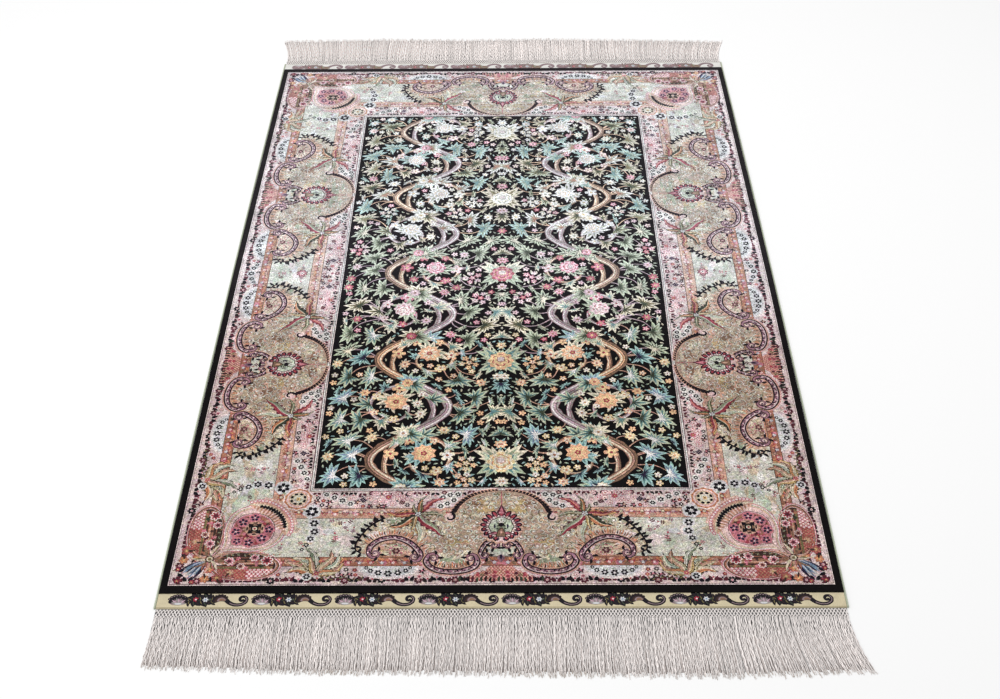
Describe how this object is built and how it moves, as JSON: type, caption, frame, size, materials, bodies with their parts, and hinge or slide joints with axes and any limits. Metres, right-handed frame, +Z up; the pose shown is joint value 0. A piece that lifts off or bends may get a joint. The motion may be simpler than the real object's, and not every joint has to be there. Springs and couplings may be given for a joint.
{
  "type": "hereke rug",
  "caption": "Fine silk rug lying flat: knotted pile body with a woven band and a knotted fringe at each end, and an overcast cord along each long side.",
  "frame": {"origin": "middle of the whole footprint, fringes included, on the surface the rug lies on", "axes": "+Y along the rug towards the far end, +X across it to the right seen from the near end, +Z up through the pile"},
  "size_m": [1.0386, 1.8018, 0.004],
  "materials": {
    "pile": "short silk pile with a soft sheen",
    "side_cord": "overcast silk thread",
    "fringe": "loose silk strands, knotted at the top"
  },
  "bodies": {
    "root": {"rug_body": "pile", "side_cord_left": "side_cord", "side_cord_right": "side_cord", "fringe_front": "fringe", "fringe_back": "fringe"}
  },
  "joints": []
}
